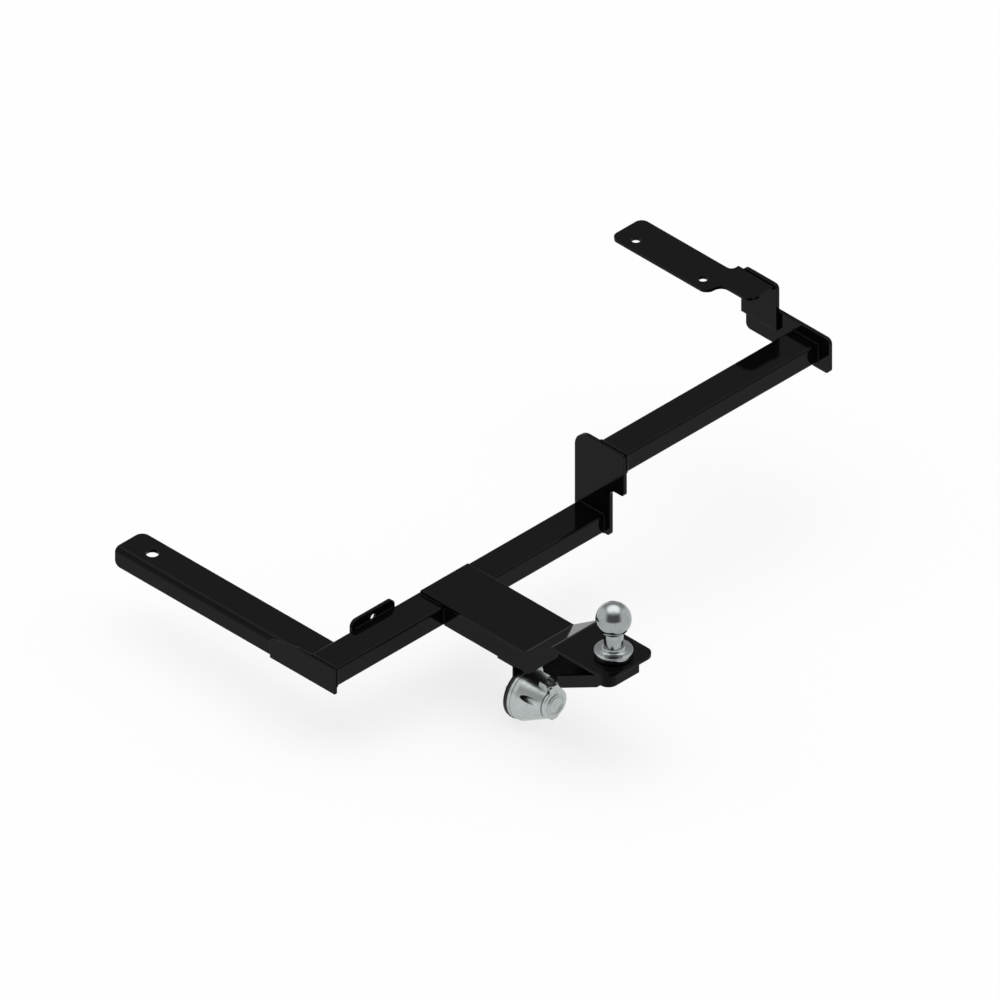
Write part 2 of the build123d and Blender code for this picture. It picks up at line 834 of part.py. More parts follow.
with BuildPart() as lid_seal:
    with BuildSketch(socket_plane(lid_back + seal_recess, mouth_rise)):
        Circle(seal_diameter / 2 - seal_clearance)
    extrude(amount=-seal_thickness)
keep(lid_seal.part, "lid_seal")

with BuildPart() as lid_hinge_pin:
    with BuildSketch(side_plane(socket_x)):
        with Locations((hinge_y, hinge_z)):
            Circle(pin_diameter / 2)
    extrude(amount=ear_start + ear_thickness, both=True)
    for head_x in (ear_start + ear_thickness, -ear_start - ear_thickness - pin_head):
        with BuildSketch(side_plane(socket_x + head_x)):
            with Locations((hinge_y, hinge_z)):
                Circle(pin_head_diameter / 2)
        extrude(amount=pin_head)
keep(lid_hinge_pin.part, "lid_hinge_pin")

with BuildPart() as lid_spring:
    coil_inner = pin_diameter / 2 + spring_clearance
    with BuildSketch(side_plane(socket_x)):
        with Locations((hinge_y, hinge_z)):
            Circle(coil_inner + spring_wire)
            Circle(coil_inner, mode=Mode.SUBTRACT)
    extrude(amount=spring_length / 2, both=True)
keep(lid_spring.part, "lid_spring")
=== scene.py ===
"""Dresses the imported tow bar: paint, plating, castings, rubber, welds and a pale studio.

Every length is in metres in the row frame: the centre of the tow ball is the origin, -Y points
to the trailer, +X runs along the cross beam towards its raised end and +Z is up.
"""
import json
import logging
import math
from collections.abc import Callable, Sequence
from dataclasses import dataclass
from enum import Enum

import bmesh
import bpy
from mathutils import Matrix, Vector


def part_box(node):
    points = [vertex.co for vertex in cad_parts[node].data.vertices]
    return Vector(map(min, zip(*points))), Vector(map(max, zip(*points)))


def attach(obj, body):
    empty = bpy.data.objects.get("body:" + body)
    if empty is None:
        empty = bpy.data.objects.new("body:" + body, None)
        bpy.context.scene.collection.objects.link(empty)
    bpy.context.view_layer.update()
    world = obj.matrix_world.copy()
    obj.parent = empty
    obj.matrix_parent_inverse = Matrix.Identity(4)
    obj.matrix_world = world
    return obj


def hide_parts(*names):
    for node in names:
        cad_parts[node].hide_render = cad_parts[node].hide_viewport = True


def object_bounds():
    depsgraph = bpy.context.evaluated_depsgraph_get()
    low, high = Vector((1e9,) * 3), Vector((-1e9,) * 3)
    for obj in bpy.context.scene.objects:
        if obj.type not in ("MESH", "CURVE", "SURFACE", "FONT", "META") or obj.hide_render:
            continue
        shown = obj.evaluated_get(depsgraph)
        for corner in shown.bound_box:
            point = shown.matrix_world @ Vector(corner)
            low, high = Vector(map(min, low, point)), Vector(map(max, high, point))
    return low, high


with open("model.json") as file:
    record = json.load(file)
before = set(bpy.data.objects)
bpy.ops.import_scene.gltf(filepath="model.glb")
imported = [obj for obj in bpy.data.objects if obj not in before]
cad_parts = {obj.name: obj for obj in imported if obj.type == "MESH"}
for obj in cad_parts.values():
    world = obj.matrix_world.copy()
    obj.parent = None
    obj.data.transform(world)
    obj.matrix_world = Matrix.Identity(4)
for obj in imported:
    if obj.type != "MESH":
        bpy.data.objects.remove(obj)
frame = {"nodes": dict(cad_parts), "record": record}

CAD_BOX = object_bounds()
MM = 0.001
BODY = "hitch"
LID = "lid"
# The webs whose coat is darkened as painted shade for their recess.
RECESSED_NODES = ("left_gusset", "right_gusset")
LOG = logging.getLogger("tow_bar")

# A face is flat where its rounded normal agrees with it by more than the first cosine, and all
# edge where it agrees by less than the second.
FLAT_COSINE = 0.985
EDGE_COSINE = 0.8
# Several sockets of the mixing node share a name, so its colours are found by number.
MIX_FIRST, MIX_SECOND, MIX_RESULT = 6, 7, 2
# The wave texture draws its bands this many times as fast as its scale says.
WAVE_RATE = 20.0
STREAK_SQUEEZE = 0.04
# A turned ring with a smaller radius than this, in metres, is one point on the axis.
ON_AXIS = 1e-7
# A tube's ring looks for another side once its way runs this close to the old one.
NEARLY_ALONG = 0.98


def linear(code: str) -> tuple[float, float, float, float]:
    """Turns an sRGB hex colour into linear light.

    Args:
        code: A colour such as "#1A1B1C".

    Returns:
        Linear red, green, blue and an alpha of 1.
    """
    shades = [int(code[i : i + 2], 16) / 255 for i in (1, 3, 5)]
    light = [s / 12.92 if s <= 0.04045 else ((s + 0.055) / 1.055) ** 2.4 for s in shades]
    return light[0], light[1], light[2], 1.0


def per_mm(size: float) -> float:
    """Scale of a pattern whose features are this many millimetres wide."""
    return 1.0 / (size * MM)


def add(
    tree: bpy.types.NodeTree,
    kind: str,
    values: dict[str | int, object] | None = None,
    links: dict[str | int, bpy.types.NodeSocket] | None = None,
    **settings: object,
) -> bpy.types.Node:
    """Adds one node to a tree.

    Args:
        tree: The node tree that gets it.
        kind: The node's type name.
        values: What its unlinked inputs are set to.
        links: The sockets that feed its other inputs.
        settings: The node's own properties.

    Returns:
        The new node.
    """
    made = tree.nodes.new(kind)
    for name, value in settings.items():
        setattr(made, name, value)
    for key, value in (values or {}).items():
        made.inputs[key].default_value = value
    for key, socket in (links or {}).items():
        tree.links.new(socket, made.inputs[key])
    return made


def blank(name: str) -> tuple[bpy.types.Material, bpy.types.NodeTree]:
    """Makes an empty node material.

    Args:
        name: The finish's name.

    Returns:
        The material and its cleared tree.
    """
    material = bpy.data.materials.new(name)
    material.use_nodes = True
    material.node_tree.nodes.clear()
    return material, material.node_tree


def noise(
    tree: bpy.types.NodeTree,
    place: bpy.types.NodeSocket,
    size: float,
    detail: float,
    roughness: float = 0.5,
) -> bpy.types.NodeSocket:
    """Draws cloudy noise.

    Args:
        tree: The material's tree.
        place: Where on the object a point lies.
        size: How wide its features are, in millimetres.
        detail: How many finer layers it has.
        roughness: How strong these are.

    Returns:
        A value from 0 to 1.
    """
    made = add(
        tree,
        "ShaderNodeTexNoise",
        {"Scale": per_mm(size), "Detail": detail, "Roughness": roughness},
        {"Vector": place},
    )
    return made.outputs["Fac"]


def ramp(
    tree: bpy.types.NodeTree,
    value: bpy.types.NodeSocket,
    source: tuple[float, float] = (0.0, 1.0),
    target: tuple[float, float] = (0.0, 1.0),
    smooth: bool = False,
) -> bpy.types.NodeSocket:
    """Carries a value from one range to another and holds it beyond both ends.

    Args:
        tree: The tree.
        value: The value.
        source: Where it starts and ends.
        target: What these become.
        smooth: Whether it eases in and out.

    Returns:
        The new value.
    """
    made = add(
        tree,
        "ShaderNodeMapRange",
        {"From Min": source[0], "From Max": source[1], "To Min": target[0], "To Max": target[1]},
        {"Value": value},
        interpolation_type="SMOOTHSTEP" if smooth else "LINEAR",
    )
    return made.outputs["Result"]


def calc(
    tree: bpy.types.NodeTree,
    operation: str,
    first: bpy.types.NodeSocket,
    second: bpy.types.NodeSocket | float = 0.0,
    clamp: bool = False,
) -> bpy.types.NodeSocket:
    """Takes one step of arithmetic.

    Args:
        tree: The tree.
        operation: The step, as the node names it.
        first: The first value.
        second: The second value, which a step of one value leaves out.
        clamp: Whether the result is kept between 0 and 1.

    Returns:
        The result.
    """
    made = add(tree, "ShaderNodeMath", links={0: first}, operation=operation, use_clamp=clamp)
    if isinstance(second, float):
        made.inputs[1].default_value = second
    else:
        tree.links.new(second, made.inputs[1])
    return made.outputs["Value"]


def blend(
    tree: bpy.types.NodeTree, share: bpy.types.NodeSocket, first: str, second: str
) -> bpy.types.NodeSocket:
    """Mixes two colours.

    Args:
        tree: The material's tree.
        share: How much of the second one shows.
        first: An sRGB hex colour.
        second: Another one.

    Returns:
        The mixed colour.
    """
    made = add(
        tree,
        "ShaderNodeMix",
        {MIX_FIRST: linear(first), MIX_SECOND: linear(second)},
        {0: share},
        data_type="RGBA",
    )
    return made.outputs[MIX_RESULT]


def relief(
    tree: bpy.types.NodeTree,
    height: bpy.types.NodeSocket,
    normal: bpy.types.NodeSocket,
    depth: float,
    strength: float = 0.5,
) -> bpy.types.NodeSocket:
    """Bends a normal by a fine relief.

    Args:
        tree: The material's tree.
        height: The relief's height, from 0 to 1.
        normal: The normal without it.
        depth: What a height of 1 stands for, in millimetres.
        strength: How much of it shows.

    Returns:
        The bent normal.
    """
    made = add(
        tree,
        "ShaderNodeBump",
        {"Strength": strength, "Distance": depth * MM},
        {"Height": height, "Normal": normal},
    )
    return made.outputs["Normal"]


def surface(
    tree: bpy.types.NodeTree,
    values: dict[str | int, object],
    colour: bpy.types.NodeSocket,
    roughness: bpy.types.NodeSocket,
    normal: bpy.types.NodeSocket,
) -> None:
    """Ends a material in its shader.

    Args:
        tree: The material's tree.
        values: What the shader's unlinked inputs are set to.
        colour: Its colour.
        roughness: Its roughness.
        normal: Its normal.
    """
    shader = add(
        tree,
        "ShaderNodeBsdfPrincipled",
        values,
        {"Base Color": colour, "Roughness": roughness, "Normal": normal},
    )
    add(tree, "ShaderNodeOutputMaterial", links={"Surface": shader.outputs["BSDF"]})


def edge_mask(
    tree: bpy.types.NodeTree, radius: float
) -> tuple[bpy.types.NodeSocket, bpy.types.NodeSocket]:
    """Finds the edges that a finish rolls over.

    Args:
        tree: The material's tree.
        radius: How far the edge is rounded, in millimetres.

    Returns:
        The rounded normal, and a mask that is 1 on the edge and 0 on flat faces.
    """
    rolled = add(tree, "ShaderNodeBevel", {"Radius": radius * MM}, samples=4).outputs["Normal"]
    flat = add(tree, "ShaderNodeNewGeometry").outputs["Normal"]
    facing = add(
        tree,
        "ShaderNodeVectorMath",
        links={0: rolled, 1: flat},
        operation="DOT_PRODUCT",
    )
    return rolled, ramp(tree, facing.outputs["Value"], (FLAT_COSINE, EDGE_COSINE))


@dataclass(frozen=True)
class PowderCoat:
    """Gloss black polyester powder coat baked on steel.

    The skin is smooth but wavy like orange peel, rolls over every cut edge, and mirrors pale
    surroundings only weakly, so broad faces stay charcoal and grazing ones turn grey.
    """

    name: str = "gloss_black_powder_coat"
    colour: str = "#080809"
    thin_edge: str = "#0B0B0C"
    roughness: float = 0.05
    rougher: float = 0.1
    ior: float = 1.48
    mirror: float = 0.08
    peel: float = 4.0
    peel_depth: float = 0.05
    peel_strength: float = 0.2
    cloud: float = 70.0
    edge_radius: float = 1.0

    def material(self) -> bpy.types.Material:
        """Builds the paint's node material.

        Returns:
            The material.
        """
        made, tree = blank(self.name)
        place = add(tree, "ShaderNodeTexCoord").outputs["Object"]
        rolled, edge = edge_mask(tree, self.edge_radius)
        # Orange peel is 1 to 4 mm wide on the real coat; the coarse end shows in the render.
        peel = noise(tree, place, self.peel, 1.5, 0.4)
        cloud = noise(tree, place, self.cloud, 4.0, 0.6)
        surface(
            tree,
            {"IOR": self.ior, "Specular IOR Level": self.mirror},
            blend(tree, edge, self.colour, self.thin_edge),
            ramp(tree, cloud, (0.3, 0.7), (self.roughness, self.rougher)),
            relief(tree, peel, rolled, self.peel_depth, self.peel_strength),
        )
        return made


class Working(Enum):
    """How a metal's last working left its marks."""

    TURNED = "rings round the ball's upright axis"
    DRAWN = "streaks along the beam"
    CAST = "pebbled skin of a die casting"
    PLATED = "cloudy skin of an electroplated part"


@dataclass(frozen=True)
class BareMetal:
    """A metal seen without paint, with the marks of its last working.

    The tint varies in soft clouds, the marks bend the highlights, and handled edges are
    brighter and smoother than the faces between them.
    """

    name: str
    colour: str
    dull: str
    working: Working
    roughness: float
    rougher: float
    mark: float
    depth: float
    edge_radius: float = 0.6
    cloud: float = 9.0

    def marks(
        self, tree: bpy.types.NodeTree, place: bpy.types.NodeSocket
    ) -> bpy.types.NodeSocket:
        """Draws the height of the working marks.

        Args:
            tree: The material's tree.
            place: Where on the object a point lies.

        Returns:
            A height from 0 to 1.
        """
        if self.working is Working.TURNED:
            rings = add(
                tree,
                "ShaderNodeTexWave",
                {"Scale": per_mm(self.mark) / WAVE_RATE, "Distortion": 0.4, "Detail": 2.0},
                {"Vector": place},
                wave_type="BANDS",
                bands_direction="Z",
            )
            return rings.outputs["Fac"]
        if self.working is Working.DRAWN:
            stretched = add(
                tree,
                "ShaderNodeMapping",
                {"Scale": (STREAK_SQUEEZE, 1.0, 1.0)},
                {"Vector": place},
            )
            return noise(tree, stretched.outputs["Vector"], self.mark, 2.0)
        return noise(tree, place, self.mark, 3.0, 0.55)

    def material(self) -> bpy.types.Material:
        """Builds the metal's node material.

        Returns:
            The material.
        """
        made, tree = blank(self.name)
        place = add(tree, "ShaderNodeTexCoord").outputs["Object"]
        rolled, edge = edge_mask(tree, self.edge_radius)
        cloud = ramp(tree, noise(tree, place, self.cloud, 4.0, 0.6), (0.35, 0.7))
        worn = calc(tree, "SUBTRACT", cloud, edge, clamp=True)
        surface(
            tree,
            {"Metallic": 1.0},
            blend(tree, worn, self.colour, self.dull),
            ramp(tree, worn, target=(self.roughness, self.rougher)),
            relief(tree, self.marks(tree, place), rolled, self.depth),
        )
        return made


@dataclass(frozen=True)
class Moulding:
    """Black rubber or nylon from a mould.

    A fine spark-eroded grain breaks up the highlight, and the skin is a little greyer where
    dust and handling have settled.
    """

    name: str
    colour: str
    dusty: str
    roughness: float
    rougher: float
    ior: float
    grain: float
    depth: float
    cloud: float = 12.0
    edge_radius: float = 0.5

    def material(self) -> bpy.types.Material:
        """Builds the moulding's node material.

        Returns:
            The material.
        """
        made, tree = blank(self.name)
        place = add(tree, "ShaderNodeTexCoord").outputs["Object"]
        rolled, edge = edge_mask(tree, self.edge_radius)
        grain = add(
            tree,
            "ShaderNodeTexVoronoi",
            {"Scale": per_mm(self.grain), "Randomness": 1.0},
            {"Vector": place},
            feature="SMOOTH_F1",
        )
        cloud = noise(tree, place, self.cloud, 4.0)
        settled = calc(tree, "MAXIMUM", cloud, edge)
        surface(
            tree,
            {"IOR": self.ior},
            blend(tree, settled, self.colour, self.dusty),
            ramp(tree, cloud, target=(self.roughness, self.rougher)),
            relief(tree, grain.outputs["Distance"], rolled, self.depth),
        )
        return made


# Nearly black steel with soft grey sheens and a lighter line where it rolls over an edge.
BLACK_PAINT = PowderCoat()
# The recessed webs get a darker, matt coat that hardly mirrors anything: painted shade for the
# shade that falls in the recess.
PAINTED_SHADE_COAT = PowderCoat(
    "matt_coat_painted_shade", "#060607", "#0A0A0B", roughness=0.35, rougher=0.5, mirror=0.02
)
# Close to a mirror, so it shows the room as pale sides round a dark middle.
POLISHED_CHROME = BareMetal(
    "polished_chrome_plate", "#A2A6A7", "#959A9B", Working.TURNED, 0.08, 0.15, 1.0, 0.01
)
# Bluish silver fasteners with a cloudy highlight.
BRIGHT_ZINC = BareMetal(
    "bright_zinc_plate", "#BFC3C6", "#A4A9AC", Working.PLATED, 0.26, 0.38, 1.5, 0.03
)
# Pale silver with a broad highlight that a fine pebbled skin breaks up.
CAST_ALUMINIUM = BareMetal(
    "die_cast_aluminium", "#BFC5C4", "#B3B9B8", Working.CAST, 0.3, 0.4, 1.6, 0.04
)
# Warm pale pins, which the plug's own contacts keep clean.
NICKELLED_BRASS = BareMetal(
    "nickel_plated_brass", "#CDC5AE", "#B5AA8C", Working.PLATED, 0.2, 0.3, 1.0, 0.02
)
# Bright wire and pin with fine drawing streaks.
DRAWN_STAINLESS = BareMetal(
    "drawn_stainless_steel", "#BDBDB9", "#A5A5A1", Working.DRAWN, 0.2, 0.32, 0.6, 0.02
)
# Matt charcoal that hardly shines.
BLACK_RUBBER = Moulding("moulded_epdm_rubber", "#101010", "#1B1B1A", 0.55, 0.7, 1.52, 0.9, 0.05)
# Black with a satin gleam.
BLACK_NYLON = Moulding("moulded_black_nylon", "#0F0F10", "#18181A", 0.32, 0.45, 1.53, 0.8, 0.03)

SLOT_FINISHES = {
    "painted_steel": BLACK_PAINT,
    "chrome": POLISHED_CHROME,
    "zinc_steel": BRIGHT_ZINC,
    "cast_aluminium": CAST_ALUMINIUM,
    "black_rubber": BLACK_RUBBER,
    "black_plastic": BLACK_NYLON,
    "nickel_brass": NICKELLED_BRASS,
    "stainless_steel": DRAWN_STAINLESS,
}


class PaintShop:
    """Builds each finish once and puts it on nodes and pieces."""

    def __init__(self) -> None:
        """Builds one material for every slot of the record, and a darker one, painted shade, for
        the recessed webs.
        """
        self.materials = {slot: finish.material() for slot, finish in SLOT_FINISHES.items()}
        self.recess = PAINTED_SHADE_COAT.material()

    def dress_nodes(self) -> None:
        """Puts each CAD node's finish on its own material slots."""
        for part in frame["record"]["subparts"]:
            node = frame["nodes"][part["node"]]
            finish = self.materials[part["material_slot"]]
            # The recessed webs get the darker coat, which is painted shade.
            if part["node"] in RECESSED_NODES:
                finish = self.recess
            if not node.material_slots:
                node.data.materials.append(finish)
            for holder in node.material_slots:
                holder.material = finish
            LOG.info("%s gets %s", part["node"], finish.name)

    def dress(self, piece: bpy.types.Object, slot: str, body: str) -> None:
        """Gives a new piece its finish and its body.

        Args:
            piece: The piece, already in place.
            slot: The record's material slot.
            body: The CAD body that it rides on.
        """
        piece.data.materials.clear()
        piece.data.materials.append(self.materials[slot])
        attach(piece, body)
        LOG.info("%s built, rides on %s", piece.name, body)


def keep_mesh(name: str, mesh: bmesh.types.BMesh, sharp: float = 35.0) -> bpy.types.Object:
    """Turns a finished bmesh into a smooth-shaded object.

    Args:
        name: The piece's name.
        mesh: Its geometry, which is freed.
        sharp: The angle in degrees above which an edge stays sharp.

    Returns:
        The new object, linked to the scene.
    """
    bmesh.ops.recalc_face_normals(mesh, faces=mesh.faces)
    data = bpy.data.meshes.new(name)
    mesh.to_mesh(data)
    mesh.free()
    data.shade_smooth()
    data.set_sharp_from_angle(angle=math.radians(sharp))
    made = bpy.data.objects.new(name, data)
    bpy.context.scene.collection.objects.link(made)
    return made


def turned(
    name: str,
    rows: Sequence[tuple[float, float]],
    places: Sequence[Matrix] = (Matrix.Identity(4),),
    around: int = 96,
    radius: Callable[[float, float, float], float] | None = None,
    lift: Callable[[float, float, float], float] | None = None,
) -> bpy.types.Object:
    """Builds a turned piece from its profile, once or at several places.

    Args:
        name: The piece's name.
        rows: Radius and height of each ring, from one end to the other.
        places: Each carries the profile's frame, with its axis on Z, into the row frame.
        around: Points on each ring.
        radius: Changes a ring point's radius, from its radius, height and angle.
        lift: Gives what is added to a ring point's height, from the same three.

    Returns:
        The new object.
    """
    mesh = bmesh.new()
    for place in places:
        rings = []
        for r, z in rows:
            ring = []
            for i in range(around if r > ON_AXIS else 1):
                turn = 2 * math.pi * i / around
                out = radius(r, z, turn) if radius else r
                up = z + (lift(r, z, turn) if lift else 0.0)
                point = Vector((out * math.cos(turn), out * math.sin(turn), up))
                ring.append(mesh.verts.new(place @ point))
            rings.append(ring)
        for low, high in zip(rings, rings[1:]):
            for i in range(around):
                j = (i + 1) % around
                corners = (
                    low[i % len(low)],
                    low[j % len(low)],
                    high[j % len(high)],
                    high[i % len(high)],
                )
                distinct = list(dict.fromkeys(corners))
                if len(distinct) > 2:
                    mesh.faces.new(distinct)
        for ring in (rings[0], rings[-1]):
            if len(ring) > 1:
                mesh.faces.new(ring)
    return keep_mesh(name, mesh)


def add_prism(
    mesh: bmesh.types.BMesh,
    outline: Sequence[tuple[float, float]],
    place: Matrix,
    height: float,
    edge: float,
) -> None:
    """Adds a prism with softened edges to a mesh.

    Args:
        mesh: The mesh that gets it.
        outline: The corners of its foot, in the plane that place gives.
        place: Carries that plane's frame into the row frame.
        height: How far it rises along the plane's Z.
        edge: How far its edges are rounded.
    """
    foot = [mesh.verts.new(place @ Vector((x, y, 0.0))) for x, y in outline]
    top = [mesh.verts.new(place @ Vector((x, y, height))) for x, y in outline]
    count = len(outline)
    faces = [mesh.faces.new(foot), mesh.faces.new(top)]
    for i in range(count):
        j = (i + 1) % count
        faces.append(mesh.faces.new((foot[i], foot[j], top[j], top[i])))
    rims = {rim for face in faces[:2] for rim in face.edges}
    bmesh.ops.bevel(mesh, geom=list(rims), offset=edge, segments=3, profile=0.5, affect="EDGES")


def add_tube(
    mesh: bmesh.types.BMesh,
    path: Sequence[Vector],
    size: Callable[[int], float],
    around: int,
) -> None:
    """Adds a round tube along a path to a mesh.

    Args:
        mesh: The mesh that gets it.
        path: The middle of each ring.
        size: Gives the radius of a ring from its number.
        around: Points on each ring.
    """
    rings = []
    side = Vector((0.0, 0.0, 1.0))
    for i, centre in enumerate(path):
        way = (path[min(i + 1, len(path) - 1)] - path[max(i - 1, 0)]).normalized()
        if abs(way.dot(side)) > NEARLY_ALONG:
            side = Vector((1.0, 0.0, 0.0))
        side = (side - way * way.dot(side)).normalized()
        over = way.cross(side)
        ring = []
        for k in range(around):
            turn = 2 * math.pi * k / around
            out = side * math.cos(turn) + over * math.sin(turn)
            ring.append(mesh.verts.new(centre + out * size(i)))
        rings.append(ring)
    for low, high in zip(rings, rings[1:]):
        for k in range(around):
            j = (k + 1) % around
            mesh.faces.new((low[k], low[j], high[j], high[k]))
    mesh.faces.new(rings[0])
    mesh.faces.new(rings[-1])


def arc(
    centre: tuple[float, float], radius: float, start: float, end: float, steps: int
) -> list[tuple[float, float]]:
    """Points on an arc of a profile.

    Args:
        centre: Its centre, as radius and height.
        radius: Its radius.
        start: First angle in degrees, with 0 outwards and 90 upwards.
        end: Last angle in degrees.
        steps: How many runs it has.

    Returns:
        Radius and height of each point.
    """
    angles = [math.radians(start + (end - start) * i / steps) for i in range(steps + 1)]
    return [(centre[0] + radius * math.cos(a), centre[1] + radius * math.sin(a)) for a in angles]


def middle(node: str) -> Vector:
    """Middle of a CAD node's box."""
    low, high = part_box(node)
    return (low + high) / 2


def ahead(x: float, y: float, z: float) -> Matrix:
    """Frame at a point whose Z axis points to the trailer and whose Y axis points up."""
    turn = Matrix(((1, 0, 0), (0, 0, -1), (0, 1, 0))).to_4x4()
    return Matrix.Translation((x, y, z)) @ turn


def mirrored(half: Sequence[tuple[float, float]]) -> list[tuple[float, float]]:
    """Closes the right half of an outline with its mirror image."""
    return list(half) + [(-x, z) for x, z in reversed(half)]


@dataclass
class TowBall:
    """The forged, turned and chromed ball with its collar and threaded shank."""

    ball: float = 25.0 * MM
    neck: float = 13.5 * MM
    neck_fillet: float = 6.0 * MM
    collar: float = 27.0 * MM
    collar_height: float = 11.0 * MM
    collar_edge: float = 2.0 * MM
    seat: float = 60.1 * MM
    shank: float = 11.0 * MM
    shank_chamfer: float = 2.0 * MM
    pitch: float = 2.5 * MM
    thread_depth: float = 0.9 * MM
    thread_length: float = 12.0 * MM
    rings_per_pitch: int = 6
    foot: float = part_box("tow_ball")[0].z

    def profile(self) -> list[tuple[float, float]]:
        """Lists the ball's outline, from the shank's foot to its crown.

        Returns:
            Radius and height of each ring.
        """
        shank, chamfer = self.shank, self.shank_chamfer
        start = self.foot + chamfer
        run = self.thread_length - chamfer
        steps = round(run / (self.pitch / self.rings_per_pitch))
        rows = [(0.0, self.foot), (shank - chamfer, self.foot), (shank, start)]
        rows += [(shank, start + run * i / steps) for i in range(1, steps + 1)]
        low, high = -self.seat, self.collar_height - self.seat
        rim, edge, fillet = self.collar, self.collar_edge, self.neck_fillet
        rows += [(shank, low), (rim - edge, low), (rim, low + edge), (rim, high - edge)]
        rows += arc((rim - edge, high - edge), edge, 0, 90, 6)[1:]
        rows += arc((self.neck + fillet, high + fillet), fillet, 270, 180, 8)
        neck_angle = -math.degrees(math.acos(self.neck / self.ball))
        rows += arc((0.0, 0.0), self.ball, neck_angle, 90, 40)
        return rows[:-1] + [(0.0, self.ball)]

    def thread(self, r: float, z: float, turn: float) -> float:
        """Cuts the thread into the shank's foot.

        Args:
            r: Radius of a ring.
            z: Its height.
            turn: The angle of a point on it.

        Returns:
            The point's radius.
        """
        if not math.isclose(r, self.shank) or z > self.foot + self.thread_length:
            return r
        phase = (z / self.pitch + turn / (2 * math.pi)) % 1.0
        return r - self.thread_depth * abs(2 * phase - 1)

    def build(self, shop: PaintShop) -> None:
        """Builds the ball in place of its CAD node.

        Args:
            shop: Gives the piece its finish and its body.
        """
        made = turned("tow_ball_turned", self.profile(), around=128, radius=self.thread)
        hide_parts("tow_ball")
        shop.dress(made, "chrome", BODY)


@dataclass
class BallNut:
    """The hexagonal nut under the platform, chamfered on both faces."""

    flats: float = 17.0 * MM
    bore: float = 11.0 * MM
    bore_rim: float = 1.0 * MM
    washer_face: float = 0.6 * MM
    chamfer_start: float = 0.4 * MM
    chamfer_slope: float = 1.73
    ring_depths: tuple[float, ...] = (0.4 * MM, 1.0 * MM, 1.6 * MM, 2.2 * MM)

    def build(self, shop: PaintShop) -> None:
        """Builds the nut in place of its CAD node.

        Args:
            shop: Gives the piece its finish and its body.
        """
        low, high = (end.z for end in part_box("ball_nut"))
        corner = self.flats / math.cos(math.radians(30))
        face = [self.bore, self.bore + self.bore_rim, self.flats - self.washer_face]
        rows = [(r, low) for r in face]
        rows += [(corner, low + depth) for depth in self.ring_depths]
        rows += [(corner, high - depth) for depth in reversed(self.ring_depths)]
        rows += [(r, high) for r in reversed(face)]

        def hexagon(r: float, z: float, turn: float) -> float:
            """Cuts the six flats and the chamfers.

            Args:
                r: Radius of a ring.
                z: Its height.
                turn: The angle of a point on it.

            Returns:
                The point's radius.
            """
            if not math.isclose(r, corner):
                return r
            side = (turn + math.pi / 6) % (math.pi / 3) - math.pi / 6
            from_face = min(z - low, high - z)
            cone = self.flats - self.chamfer_start + from_face * self.chamfer_slope
            return min(self.flats / math.cos(side), cone)

        made = turned("ball_nut_forged", rows, radius=hexagon)
        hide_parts("ball_nut")
        shop.dress(made, "zinc_steel", BODY)


# Radius and depth, in millimetres, of the groove, the ring and the dished middle of the lid.
LID_FACE = (
    (14.2, 0.0),
    (13.7, 0.9),
    (12.3, 0.9),
    (11.8, 0.0),
    (10.6, 0.0),
    (9.8, 0.8),
    (6.0, 1.0),
    (0.0, 1.1),
)


